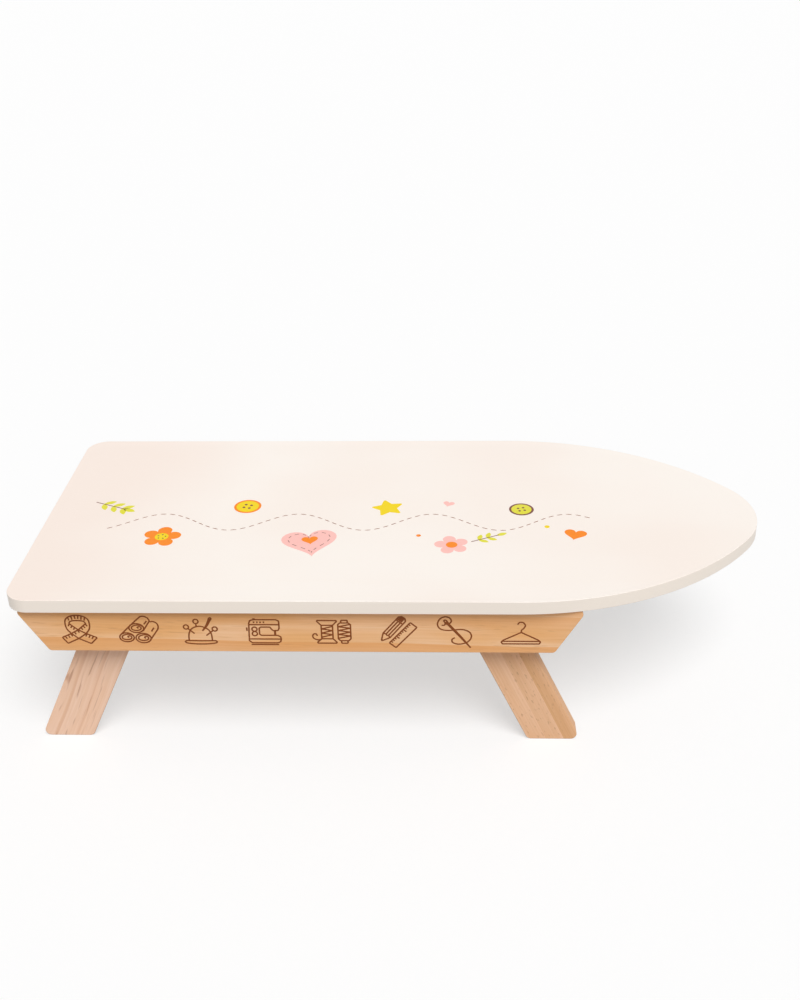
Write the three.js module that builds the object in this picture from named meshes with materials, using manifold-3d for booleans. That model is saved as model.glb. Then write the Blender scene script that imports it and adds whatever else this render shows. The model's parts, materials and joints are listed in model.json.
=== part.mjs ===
// A child's toy ironing board: a painted top with a round nose, glued and screwed to a pine frame,
// and two pairs of splayed legs that fold in between the rails.
// Millimetres. +Z is up, +X points to the round nose and -Y to the front.
// The origin is on the floor under the middle of the board's length and width.

import * as THREE from "three";
import { mergeVertices } from "three/addons/utils/BufferGeometryUtils.js";
import Module from "manifold-3d";

// Overall sizes
const boardLength = 485;
const boardWidth = 225;
const boardHeight = 120;

// Top board, whose nose is one small arc between two large ones
const topThickness = 9;
const topEdgeRadius = 1;
const topCornerRadius = 15;
const sideArcRadius = 190;
const noseRadius = 58.5;

// Side rails, whose ends slope in towards the bottom
const railHeight = 32;
const railThickness = 12;
const railInset = 5;
const railStartMargin = 0.4;
const railEndMargin = 1.5;
const railEndSlope = THREE.MathUtils.degToRad(31);
const railCornerRadius = 3;
const railTopCornerRadius = 3.5;

// Cross rails between the side rails
const crossRailHeight = 24;
const crossRailThickness = 12;
const crossRailSetback = 19;

// Legs and the stretcher rod of each pair
const legWidth = 31.5;
const legThickness = 12;
const legSplay = THREE.MathUtils.degToRad(25);
const legRoom = 8;
const legCornerRadius = 4;
const legStopRadius = 1;
const stretcherRadius = 6;
const stretcherHeight = 40;
const stretcherSkin = 4;

// Pivot bolts, their washers and the threaded inserts that hold them
const boltRadius = 2.5;
const boltHeadRadius = 4.75;
const boltHeadHeight = 3;
const boltHeadDome = 0.8;
const boltTipChamfer = 0.6;
const boltTipGap = 1.2;
const socketWidth = 3;
const socketDepth = 1.8;
const railWasherRadius = 7;
const railWasherThickness = 1;
const headWasherRadius = 6;
const headWasherThickness = 1;
const insertRadius = 4;
const insertSkin = 2.5;
const insertFootGap = 0.5;
const insertGrooveDepth = 0.5;
const insertBands = 5;

// Dowels between side rails and cross rails
const dowelRadius = 3;
const dowelSkin = 4;
const dowelSeat = 16;
const dowelEdgeDistance = 6;
const dowelEndGap = 0.5;
const dowelChamfer = 0.6;

// Countersunk screws up through the cross rails into the top
const screwRadius = 1.75;
const screwHeadRadius = 3.5;
const screwHeadHeight = 2.4;
const screwTipLength = 2.5;
const screwSkin = 3;
const screwEndDistance = 35;
const screwSlotWidth = 0.9;
const screwSlotLength = 4.4;
const screwSlotDepth = 1.1;

// Clearances
const glueGap = 0.1;
const pivotGap = 0.1;
const sideGap = 0.15;
const stopGap = 0.3;
const cutOverrun = 1;

// Facets of the round shapes: how far an outline's arc may stray from its circle, and sides of round pieces
const chordError = 0.05;
const rodSteps = 24;
const holeSteps = 16;

// Places that several pieces share
const halfWidth = boardWidth / 2;
const frameTop = boardHeight - topThickness - glueGap;
const railBottom = frameTop - railHeight;
const railOuterFace = halfWidth - railInset;
const railInnerFace = railOuterFace - railThickness;
const noseCentre = boardLength - noseRadius;
const shoulder = noseCentre - Math.sqrt((sideArcRadius - noseRadius) ** 2 - (sideArcRadius - halfWidth) ** 2);
const railStart = topCornerRadius
  - Math.sqrt(topCornerRadius ** 2 - (topCornerRadius - railInset) ** 2) + railStartMargin;
const railEnd = shoulder + Math.sqrt(sideArcRadius ** 2 - (sideArcRadius - railInset) ** 2) - railEndMargin;
const frameMiddle = (railStart + railEnd) / 2;
const crossRailCentre = railStart + crossRailSetback + crossRailThickness / 2;
const crossRailBottom = frameTop - crossRailHeight;
const crossRailLength = 2 * (railInnerFace - glueGap);
const pivotHeight = frameTop - legWidth / 2 - stopGap;
const legReach = legWidth / 2 / Math.cos(legSplay) + (pivotHeight - crossRailBottom) * Math.tan(legSplay);
const pivotPlace = crossRailCentre + crossRailThickness / 2 + legRoom + legReach;
const legOuterFace = railInnerFace - railWasherThickness - 2 * sideGap;
const legInnerFace = legOuterFace - legThickness;

const screwTop = boardHeight - screwSkin;
const screwPlace = crossRailLength / 2 - screwEndDistance;
const stretcherOffset = (pivotHeight - stretcherHeight) * Math.tan(legSplay);

// The four corners of the frame: side is -1 at the left (straight) end, face is -1 at the front
const ends = [{ name: "left", side: -1 }, { name: "right", side: 1 }];
const faces = [{ name: "front", face: -1 }, { name: "rear", face: 1 }];
const dowelLevels = [
  { name: "upper", z: frameTop - dowelEdgeDistance },
  { name: "lower", z: crossRailBottom + dowelEdgeDistance },
];

const wasm = await Module();
wasm.setup();

// A place along the board, measured at the left end and mirrored about the frame's middle for the right end
function alongBoard(side, placeAtLeft) {
  return frameMiddle + side * (frameMiddle - placeAtLeft);
}

function wood(color, roughness) {
  return new THREE.MeshStandardMaterial({ color, roughness, metalness: 0 });
}

function metal(color, roughness) {
  return new THREE.MeshStandardMaterial({ color, roughness, metalness: 1 });
}

const paintedTop = () => wood(0xf5ebdf, 0.5);
const railPine = () => wood(0xdeaa78, 0.6);
const legPine = () => wood(0xe1bea0, 0.65);
const framePine = () => wood(0xd8b48a, 0.7);
const beech = () => wood(0xd9b184, 0.6);
const steel = () => metal(0xb9bcc0, 0.35);
const brass = () => metal(0xc8a24a, 0.4);

// Turns a closed three.js geometry into a solid that can be cut
function toSolid(geometry) {
  const bare = geometry.index ? geometry.toNonIndexed() : geometry.clone();
  bare.deleteAttribute("normal");
  bare.deleteAttribute("uv");
  const merged = mergeVertices(bare);
  return new wasm.Manifold(new wasm.Mesh({
    numProp: 3,
    vertProperties: merged.attributes.position.array,
    triVerts: new Uint32Array(merged.index.array),
  }));
}

// Cuts the tools out of a body and gives the result back as a geometry
function cutGeometry(body, tools) {
  const solid = tools.reduce((rest, tool) => rest.subtract(toSolid(tool)), toSolid(body));
  const { vertProperties, triVerts } = solid.getMesh();
  const geometry = new THREE.BufferGeometry();
  geometry.setAttribute("position", new THREE.BufferAttribute(vertProperties, 3));
  geometry.setIndex(new THREE.BufferAttribute(triVerts, 1));
  const faceted = geometry.toNonIndexed();
  faceted.computeVertexNormals();
  return faceted;
}

function piece(name, geometry, material) {
  const mesh = new THREE.Mesh(geometry, material);
  mesh.name = name;
  return mesh;
}

// Points of an arc, both ends included
function arcPoints(centre, radius, from, to) {
  const steps = Math.ceil(Math.abs(to - from) / (2 * Math.acos(1 - Math.min(chordError / radius, 1))));
  return Array.from({ length: steps + 1 }, (_, i) => {
    const angle = from + (to - from) * i / steps;
    return new THREE.Vector2(centre.x + radius * Math.cos(angle), centre.y + radius * Math.sin(angle));
  });
}

// A closed outline through corners { at, radius }, each rounded by its own radius
function roundedOutline(corners) {
  return corners.flatMap(({ at, radius }, i) => {
    const towardsLast = corners.at(i - 1).at.clone().sub(at).normalize();
    const towardsNext = corners[(i + 1) % corners.length].at.clone().sub(at).normalize();
    const halfAngle = Math.acos(towardsLast.dot(towardsNext)) / 2;
    const bisector = towardsLast.clone().add(towardsNext).normalize();
    const centre = bisector.clone().multiplyScalar(radius / Math.sin(halfAngle)).add(at);
    const turn = Math.PI - 2 * halfAngle;
    const middle = bisector.negate().angle();
    const way = Math.sign(towardsNext.cross(towardsLast));
    return arcPoints(centre, radius, middle - way * turn / 2, middle + way * turn / 2);
  });
}

// An outline drawn in X and Z, extruded along Y between two places
function plate(outline, fromY, toY) {
  const depth = Math.abs(toY - fromY);
  return new THREE.ExtrudeGeometry(new THREE.Shape(outline), { depth, bevelEnabled: false })
    .rotateX(Math.PI / 2)
    .translate(0, Math.max(fromY, toY), 0);
}

// A cylinder along Y between two places
function cylinderAlongY(radius, fromY, toY, x, z, steps) {
  return new THREE.CylinderGeometry(radius, radius, Math.abs(toY - fromY), steps)
    .translate(x, (fromY + toY) / 2, z);
}

// Top board

function topOutline() {
  const tangentAngle = Math.atan2(sideArcRadius - halfWidth, noseCentre - shoulder);
  const cornerCentre = new THREE.Vector2(topCornerRadius, topCornerRadius - halfWidth);
  const sideCentre = new THREE.Vector2(shoulder, sideArcRadius - halfWidth);
  const front = [
    ...arcPoints(cornerCentre, topCornerRadius, Math.PI, Math.PI * 1.5),
    ...arcPoints(sideCentre, sideArcRadius, -Math.PI / 2, -tangentAngle),
  ];
  const halfNose = arcPoints(new THREE.Vector2(noseCentre, 0), noseRadius, -tangentAngle, 0);
  const half = [...front, ...halfNose.slice(1)];
  const rear = half.slice(0, -1).reverse().map((point) => new THREE.Vector2(point.x, -point.y));
  return [...half, ...rear];
}

// The straight hole of one screw between two heights
function screwHole(side, face, fromZ, toZ) {
  const radius = screwRadius + glueGap;
  return new THREE.CylinderGeometry(radius, radius, toZ - fromZ, holeSteps)
    .rotateX(Math.PI / 2)
    .translate(alongBoard(side, crossRailCentre), face * screwPlace, (fromZ + toZ) / 2);
}

function topBoard() {
  const body = new THREE.ExtrudeGeometry(new THREE.Shape(topOutline()), {
    depth: topThickness - 2 * topEdgeRadius,
    bevelSize: topEdgeRadius,
    bevelThickness: topEdgeRadius,
    bevelOffset: -topEdgeRadius,
    bevelSegments: 2,
  }).translate(0, 0, boardHeight - topThickness + topEdgeRadius);
  const pilotHoles = ends.flatMap(({ side }) => faces.map(({ face }) =>
    screwHole(side, face, frameTop - cutOverrun, screwTop + glueGap)));
  return piece("top_board", cutGeometry(body, pilotHoles), paintedTop());
}

// Frame

function sideRail({ name, face }) {
  const slope = railHeight * Math.tan(railEndSlope);
  const outline = roundedOutline([
    { at: new THREE.Vector2(railStart, frameTop), radius: railTopCornerRadius },
    { at: new THREE.Vector2(railEnd, frameTop), radius: railTopCornerRadius },
    { at: new THREE.Vector2(railEnd - slope, railBottom), radius: railCornerRadius },
    { at: new THREE.Vector2(railStart + slope, railBottom), radius: railCornerRadius },
  ]);
  const body = plate(outline, face * railInnerFace, face * railOuterFace);
  const openSide = face * (railInnerFace - cutOverrun);
  const insertHoles = ends.map(({ side }) => cylinderAlongY(insertRadius + glueGap, openSide,
    face * (railOuterFace - insertSkin), alongBoard(side, pivotPlace), pivotHeight, holeSteps));
  const dowelHoles = ends.flatMap(({ side }) => dowelLevels.map(({ z }) =>
    cylinderAlongY(dowelRadius + glueGap, openSide, face * (railOuterFace - dowelSkin),
      alongBoard(side, crossRailCentre), z, holeSteps)));
  return piece(`${name}_rail`, cutGeometry(body, [...insertHoles, ...dowelHoles]), railPine());
}

function crossRail({ name, side }) {
  const body = new THREE.BoxGeometry(crossRailThickness, crossRailLength, crossRailHeight)
    .translate(alongBoard(side, crossRailCentre), 0, frameTop - crossRailHeight / 2);
  const dowelHoles = faces.flatMap(({ face }) => dowelLevels.map(({ z }) =>
    cylinderAlongY(dowelRadius + glueGap, face * (crossRailLength / 2 - dowelSeat),
      face * (crossRailLength / 2 + cutOverrun), alongBoard(side, crossRailCentre), z, holeSteps)));
  const screwHoles = faces.flatMap(({ face }) => [
    screwHole(side, face, crossRailBottom - cutOverrun, frameTop + cutOverrun),
    countersink(side, face),
  ]);
  return piece(`${name}_cross_rail`, cutGeometry(body, [...dowelHoles, ...screwHoles]), framePine());
}

// The cone that a screw head sits in, run on past the face that it opens in
function countersink(side, face) {
  const flare = (screwHeadRadius - screwRadius) / screwHeadHeight;
  const depth = screwHeadHeight + cutOverrun;
  const mouth = screwHeadRadius + glueGap + flare * cutOverrun;
  const middle = crossRailBottom - cutOverrun + depth / 2;
  return new THREE.CylinderGeometry(screwRadius + glueGap, mouth, depth, holeSteps)
    .rotateX(Math.PI / 2)
    .translate(alongBoard(side, crossRailCentre), face * screwPlace, middle);
}

// Dowels and screws

function dowel(end, across, level) {
  const outer = across.face * (railOuterFace - dowelSkin - dowelEndGap);
  const inner = across.face * (crossRailLength / 2 - dowelSeat + dowelEndGap);
  const halfLength = Math.abs(outer - inner) / 2;
  const profile = [
    new THREE.Vector2(0, -halfLength),
    new THREE.Vector2(dowelRadius - dowelChamfer, -halfLength),
    new THREE.Vector2(dowelRadius, dowelChamfer - halfLength),
    new THREE.Vector2(dowelRadius, halfLength - dowelChamfer),
    new THREE.Vector2(dowelRadius - dowelChamfer, halfLength),
    new THREE.Vector2(0, halfLength),
  ];
  const mesh = piece(`${end.name}_${across.name}_${level.name}_dowel`,
    new THREE.LatheGeometry(profile, holeSteps), beech());
  mesh.position.set(alongBoard(end.side, crossRailCentre), (outer + inner) / 2, level.z);
  return mesh;
}

function screw(end, across) {
  const length = screwTop - crossRailBottom;
  const profile = [
    new THREE.Vector2(0, 0),
    new THREE.Vector2(screwHeadRadius, 0),
    new THREE.Vector2(screwRadius, screwHeadHeight),
    new THREE.Vector2(screwRadius, length - screwTipLength),
    new THREE.Vector2(0, length),
  ];
  const body = new THREE.LatheGeometry(profile, holeSteps).rotateX(Math.PI / 2);
  const slots = [0, 1].map((quarter) =>
    new THREE.BoxGeometry(screwSlotLength, screwSlotWidth, 2 * screwSlotDepth)
      .rotateZ(quarter * Math.PI / 2));
  const mesh = piece(`${end.name}_${across.name}_screw`, cutGeometry(body, slots), steel());
  mesh.position.set(alongBoard(end.side, crossRailCentre), across.face * screwPlace, crossRailBottom);
  return mesh;
}

// Legs

// The leg's outline about its pivot. The outer top corner stops against the underside of the top,
// and the inner one is round about the pivot, so that it clears the top as the leg folds.
function legOutline(side) {
  const edgePoint = (edge, z) => {
    const alongEdge = (z + edge * legWidth / 2 * Math.sin(legSplay)) / Math.cos(legSplay);
    const x = edge * legWidth / 2 * Math.cos(legSplay) + alongEdge * Math.sin(legSplay);
    return new THREE.Vector2(-side * x, z);
  };
  const inner = 1;
  const outer = -1;
  return roundedOutline([
    { at: edgePoint(outer, legWidth / 2), radius: legStopRadius },
    { at: edgePoint(inner, legWidth / 2), radius: legWidth / 2 },
    { at: edgePoint(inner, -pivotHeight), radius: legCornerRadius },
    { at: edgePoint(outer, -pivotHeight), radius: legCornerRadius },
  ]);
}

function leg(end, across) {
  const body = plate(legOutline(end.side), across.face * legInnerFace, across.face * legOuterFace);
  const pivotHole = cylinderAlongY(boltRadius + pivotGap, across.face * (legInnerFace - cutOverrun),
    across.face * (legOuterFace + cutOverrun), 0, 0, holeSteps);
  const stretcherHole = cylinderAlongY(stretcherRadius + glueGap, across.face * (legInnerFace - cutOverrun),
    across.face * (legOuterFace - stretcherSkin), end.side * stretcherOffset,
    stretcherHeight - pivotHeight, rodSteps);
  const geometry = cutGeometry(body, [pivotHole, stretcherHole]);
  const mesh = piece(`${end.name}_${across.name}_leg`, geometry, legPine());
  mesh.position.set(alongBoard(end.side, pivotPlace), 0, pivotHeight);
  return mesh;
}

function stretcher({ name, side }) {
  const length = 2 * (legOuterFace - stretcherSkin - dowelEndGap);
  const rod = new THREE.CylinderGeometry(stretcherRadius, stretcherRadius, length, rodSteps);
  const mesh = piece(`${name}_stretcher`, rod, beech());
  mesh.position.set(alongBoard(side, pivotPlace) + side * stretcherOffset, 0, stretcherHeight);
  return mesh;
}

// Pivot hardware

function pivotHardware(end, across) {
  const corner = `${end.name}_${across.name}`;
  const x = alongBoard(end.side, pivotPlace);
  const railWasher = piece(`${corner}_rail_washer`,
    washerGeometry(railWasherRadius, railWasherThickness), steel());
  railWasher.position.set(x, across.face * (railInnerFace - sideGap), pivotHeight);
  railWasher.scale.y = across.face;
  const headWasher = piece(`${corner}_head_washer`,
    washerGeometry(headWasherRadius, headWasherThickness), steel());
  headWasher.position.set(x, across.face * (legInnerFace - sideGap), pivotHeight);
  headWasher.scale.y = across.face;
  const insert = piece(`${corner}_threaded_insert`, insertGeometry(), brass());
  insert.position.set(x, across.face * railInnerFace, pivotHeight);
  insert.scale.y = across.face;
  const bolt = piece(`${corner}_pivot_bolt`, boltGeometry(), steel());
  bolt.position.set(x, across.face * (legInnerFace - headWasherThickness - 2 * sideGap), pivotHeight);
  bolt.scale.y = across.face;
  return [railWasher, headWasher, insert, bolt];
}

// A washer that reaches from y = 0 towards -Y
function washerGeometry(radius, thickness) {
  const bore = boltRadius + pivotGap;
  const profile = [
    new THREE.Vector2(bore, -thickness),
    new THREE.Vector2(radius, -thickness),
    new THREE.Vector2(radius, 0),
    new THREE.Vector2(bore, 0),
    new THREE.Vector2(bore, -thickness),
  ];
  return new THREE.LatheGeometry(profile, holeSteps);
}

// A threaded insert with two grooves that grip the wood, its mouth at y = 0
function insertGeometry() {
  const depth = railThickness - insertSkin - insertFootGap;
  const bore = boltRadius + pivotGap;
  const grooved = insertRadius - insertGrooveDepth;
  const band = depth / insertBands;
  const profile = [new THREE.Vector2(bore, 0)];
  for (let i = 0; i < insertBands; i++) {
    const radius = i % 2 ? grooved : insertRadius;
    profile.push(new THREE.Vector2(radius, i * band), new THREE.Vector2(radius, (i + 1) * band));
  }
  profile.push(new THREE.Vector2(bore, depth), new THREE.Vector2(bore, 0));
  return new THREE.LatheGeometry(profile, holeSteps);
}

// A domed bolt with a hexagon socket, its head's seat at y = 0 and its shank towards +Y
function boltGeometry() {
  const shank = headWasherThickness + legThickness + railWasherThickness + 4 * sideGap
    + railThickness - insertSkin - boltTipGap;
  const domeEdge = boltHeadDome - boltHeadHeight;
  const profile = [
    new THREE.Vector2(0, -boltHeadHeight),
    new THREE.Vector2(boltHeadRadius - boltHeadDome, -boltHeadHeight),
    new THREE.Vector2(boltHeadRadius, domeEdge),
    new THREE.Vector2(boltHeadRadius, 0),
    new THREE.Vector2(boltRadius, 0),
    new THREE.Vector2(boltRadius, shank - boltTipChamfer),
    new THREE.Vector2(boltRadius - boltTipChamfer, shank),
    new THREE.Vector2(0, shank),
  ];
  const socketRadius = socketWidth / Math.sqrt(3);
  const socket = new THREE.CylinderGeometry(socketRadius, socketRadius, 2 * socketDepth, 6)
    .translate(0, -boltHeadHeight, 0);
  return cutGeometry(new THREE.LatheGeometry(profile, holeSteps), [socket]);
}

// The finished board, built from its left end and then moved so that the origin is under its middle
const board = new THREE.Group();
board.add(topBoard());
board.add(...faces.map(sideRail), ...ends.map(crossRail), ...ends.map(stretcher));
for (const end of ends) {
  for (const across of faces) {
    board.add(leg(end, across), screw(end, across), ...pivotHardware(end, across));
    board.add(...dowelLevels.map((level) => dowel(end, across, level)));
  }
}
board.position.x = -boardLength / 2;

const ironingBoard = new THREE.Group();
ironingBoard.add(board);

export default ironingBoard;
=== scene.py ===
# A child's toy ironing board: a painted top on a pine frame, with splayed legs that fold in under it.
# Metres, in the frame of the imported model: +Z up, +X to the round nose, -Y to the front, the floor at z = 0.

import json
import math
import bmesh
import bpy
from mathutils import Matrix, Vector


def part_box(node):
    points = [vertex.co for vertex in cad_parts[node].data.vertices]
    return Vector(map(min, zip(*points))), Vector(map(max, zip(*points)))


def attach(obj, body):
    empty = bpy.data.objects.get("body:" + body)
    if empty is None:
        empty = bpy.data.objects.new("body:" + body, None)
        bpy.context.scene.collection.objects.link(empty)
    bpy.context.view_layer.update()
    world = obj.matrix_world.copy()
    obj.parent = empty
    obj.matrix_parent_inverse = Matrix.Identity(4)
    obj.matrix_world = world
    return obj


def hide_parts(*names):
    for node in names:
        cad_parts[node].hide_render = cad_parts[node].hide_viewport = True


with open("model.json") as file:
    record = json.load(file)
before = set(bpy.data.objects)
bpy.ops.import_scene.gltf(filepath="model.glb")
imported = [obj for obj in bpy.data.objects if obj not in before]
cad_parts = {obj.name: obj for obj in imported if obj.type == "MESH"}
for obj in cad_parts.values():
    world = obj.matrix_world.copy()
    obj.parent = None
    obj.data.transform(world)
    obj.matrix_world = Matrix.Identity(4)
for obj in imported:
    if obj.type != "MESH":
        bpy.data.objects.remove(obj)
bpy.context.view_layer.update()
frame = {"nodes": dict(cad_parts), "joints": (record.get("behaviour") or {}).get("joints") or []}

# Side rails
# Two pine boards under the long edges, sawn with ends that slope in towards the bottom, sanded and lacquered.
# Holes in their inner faces take the dowels of the cross rails and the inserts of the leg pivots.

mm = 0.001
ENDS = ("left", "right")
FACES = ("front", "rear")
QUARTER_TURN = math.pi / 2
RAIL_END_SLOPE = math.radians(31)
RAIL_TOP_CORNER = 3.5 * mm
RAIL_TIP_LOST = RAIL_TOP_CORNER * (1 / math.tan(math.pi / 4 - RAIL_END_SLOPE / 2) - 1)
RAIL_BOTTOM_CORNER = 3 * mm
RAIL_EDGE = 0.6 * mm
DRILL_PLAY = 0.1 * mm
DRILL_END_ROOM = 0.5 * mm
ARC_TOLERANCE = 0.01 * mm
EDGE_ANGLE = math.radians(35)
EDGE_SEGMENTS = 4
DRILL_SIDES = 48
GRAIN_SWAY = (5, 14)
GRAIN_RIPPLE = (30, 160)
RIPPLE_SHARE = 0.12
RING_CLOSES = (0.94, 1.0)
LATEWOOD_PEAK = 0.95
FAINTEST_RING = 0.35
FIBRES = (16, 900)
NOISE_RANGE = (0.3, 0.7)
FIBRE_TINTS = ((0.96, 1.02), (0.93, 1.03), (0.88, 1.05))
FLECKS = (1, 850)
FLECK_RANGE = (0.6, 0.74)
FLECKED_PATCHES = (9, 60)
FLECKED_PATCH_RANGE = (0.42, 0.6)
BLUSHES = (11, 45)
BLUSH_RANGE = (0.38, 0.66)
END_GRAIN_RANGE = (0.7, 0.92)
END_GRAIN_AMOUNT = 0.6
WOOD_RELIEF = 0.25
WOOD_RELIEF_DEPTH = 0.15 * mm
WOOD_RELIEF_RANGE = (0.1, 0.8)
WOOD_ROUGHNESS_SWING = 0.08
WOOD_SPECULAR = 0.35


def arc(centre, start, end):
    """Points of the shorter arc between two places on a circle."""
    first, last = start - centre, end - centre
    step = 2 * math.acos(1 - ARC_TOLERANCE / first.length)
    count = math.ceil(first.angle(last) / step)
    return [centre + first.normalized().slerp(last.normalized(), i / count) * first.length
            for i in range(count + 1)]


def rounded_outline(corners):
    """A closed outline through corners, each given as (place, radius)."""
    outline = []
    for i, (corner, radius) in enumerate(corners):
        to_last = (corners[i - 1][0] - corner).normalized()
        to_next = (corners[(i + 1) % len(corners)][0] - corner).normalized()
        half_angle = to_last.angle(to_next) / 2
        centre = corner + (to_last + to_next).normalized() * radius / math.sin(half_angle)
        reach = radius / math.tan(half_angle)
        outline += arc(centre, corner + to_last * reach, corner + to_next * reach)
    return outline


def in_scene(name, data):
    """An object of the scene with this mesh, lamp or camera."""
    thing = bpy.data.objects.new(name, data)
    bpy.context.scene.collection.objects.link(thing)
    return thing


def new_piece(name, bm):
    """Turns a bmesh into an object of the scene."""
    bmesh.ops.recalc_face_normals(bm, faces=bm.faces)
    mesh = bpy.data.meshes.new(name)
    bm.to_mesh(mesh)
    bm.free()
    return in_scene(name, mesh)


def add_prism(bm, outline, through):
    """Adds the closed prism between an outline and its copy moved by the vector 'through'."""
    near = [bm.verts.new(point) for point in outline]
    far = [bm.verts.new(point + through) for point in outline]
    bm.faces.new(near)
    bm.faces.new(far[::-1])
    for i in range(len(near)):
        bm.faces.new((near[i], near[i - 1], far[i - 1], far[i]))


def keep_as_made(piece):
    """Replaces a piece's mesh by what its modifiers make of it."""
    depsgraph = bpy.context.evaluated_depsgraph_get()
    made = bpy.data.meshes.new_from_object(piece.evaluated_get(depsgraph))
    piece.modifiers.clear()
    piece.data = made


def sawn_board(name, outline, through, edge):
    """A board sawn to an outline, its edges rounded over by this radius."""
    bm = bmesh.new()
    add_prism(bm, outline, through)
    board = new_piece(name, bm)
    eased = board.modifiers.new("eased edges", "BEVEL")
    eased.width = edge
    eased.segments = EDGE_SEGMENTS
    eased.limit_method = "ANGLE"
    eased.angle_limit = EDGE_ANGLE
    keep_as_made(board)
    return board


def drill_bit(bm, start, end, radius, end_radius=None):
    """Adds a round bit between two places, a cone where its end radius differs."""
    path = end - start
    turn = path.to_track_quat("Z", "Y").to_matrix().to_4x4()
    bmesh.ops.create_cone(
        bm, cap_ends=True, segments=DRILL_SIDES, radius1=radius,
        radius2=radius if end_radius is None else end_radius, depth=path.length,
        matrix=Matrix.Translation((start + end) / 2) @ turn)


def round_along_y(node):
    """The middle, radius and half length of a round CAD node that lies along Y."""
    low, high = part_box(node)
    return (low + high) / 2, (high.z - low.z) / 2, (high.y - low.y) / 2


def drill_for(bm, node):
    """Adds a bit that leaves room for a round CAD node along Y."""
    middle, radius, half_length = round_along_y(node)
    reach = Vector((0, half_length + DRILL_END_ROOM, 0))
    drill_bit(bm, middle - reach, middle + reach, radius + DRILL_PLAY)


def smooth_rounds(piece):
    """Shades the rounds smooth and leaves the flat faces flat."""
    piece.data.shade_smooth()
    piece.data.set_sharp_from_angle(angle=EDGE_ANGLE)
    weighted = piece.modifiers.new("flat faces", "WEIGHTED_NORMAL")
    weighted.keep_sharp = True


def drill(piece, bits):
    """Cuts what the bits take up out of a piece."""
    cutter = new_piece("bits", bits)
    holes = piece.modifiers.new("holes", "BOOLEAN")
    holes.object = cutter
    keep_as_made(piece)
    bpy.data.objects.remove(cutter)


def finish_board(board, bits, finish):
    """Drills a board, shades its rounds smooth and gives it its finish."""
    drill(board, bits)
    smooth_rounds(board)
    board.data.materials.append(finish)


def colour(red, green, blue):
    """A colour as it looks on a screen, 0 to 255, as the linear values that nodes take."""
    def linear(value):
        share = value / 255
        return share / 12.92 if share <= 0.04045 else ((share + 0.055) / 1.055) ** 2.4
    return (linear(red), linear(green), linear(blue), 1)


def feed(tree, node, inputs):
    """Gives a node's inputs a value or a link each."""
    for socket, value in inputs.items():
        if isinstance(value, bpy.types.NodeSocket):
            tree.links.new(value, node.inputs[socket])
        else:
            node.inputs[socket].default_value = value


def add(tree, kind, inputs, **settings):
    """Adds a node, sets it up and feeds it."""
    node = tree.nodes.new(kind)
    for setting, value in settings.items():
        setattr(node, setting, value)
    feed(tree, node, inputs)
    return node


def calc(tree, operation, first, second=0.0):
    return add(tree, "ShaderNodeMath", {0: first, 1: second}, operation=operation).outputs[0]


def rise(tree, value, start, end, low=0.0, high=1.0):
    """Goes smoothly from low to high as the value goes from start to end."""
    inputs = {"Value": value, "From Min": start, "From Max": end, "To Min": low, "To Max": high}
    return add(tree, "ShaderNodeMapRange", inputs, interpolation_type="SMOOTHSTEP").outputs[0]


def mix(tree, factor, first, second, blend="MIX"):
    inputs = {0: factor, 6: first, 7: second}
    return add(tree, "ShaderNodeMix", inputs, data_type="RGBA", blend_type=blend).outputs[2]


def tinted(tree, tone, tint, where, amount):
    """Mixes a tint into a tone where a pattern shows, up to this amount."""
    return mix(tree, calc(tree, "MULTIPLY", where, amount), tone, tint)


def stretched_noise(tree, place, grains, detail=2.0):
    """Noise with so many grains to the metre in X, and so many in Y and Z."""
    along, across = grains
    scaled = add(tree, "ShaderNodeVectorMath", {0: place, 1: (along, across, across)}, operation="MULTIPLY")
    noise = add(tree, "ShaderNodeTexNoise", {"Vector": scaled.outputs[0], "Scale": 1.0, "Detail": detail})
    return noise.outputs[0]


def about_zero(tree, noise, reach):
    """Moves noise to either side of zero and scales it."""
    return calc(tree, "MULTIPLY", calc(tree, "SUBTRACT", noise, 0.5), reach)


def relief(tree, height, strength, depth):
    return add(tree, "ShaderNodeBump", {"Height": height, "Strength": strength, "Distance": depth}).outputs[0]


def new_group(kind, name, inputs, outputs):
    """A node group with sockets given as {name: kind of socket}, what it is given, and its last node."""
    tree = bpy.data.node_groups.new(name, kind)
    for in_out, sockets in (("INPUT", inputs), ("OUTPUT", outputs)):
        for socket, socket_kind in sockets.items():
            tree.interface.new_socket(socket, in_out=in_out, socket_type=socket_kind)
    return tree, tree.nodes.new("NodeGroupInput").outputs, tree.nodes.new("NodeGroupOutput")


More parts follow.
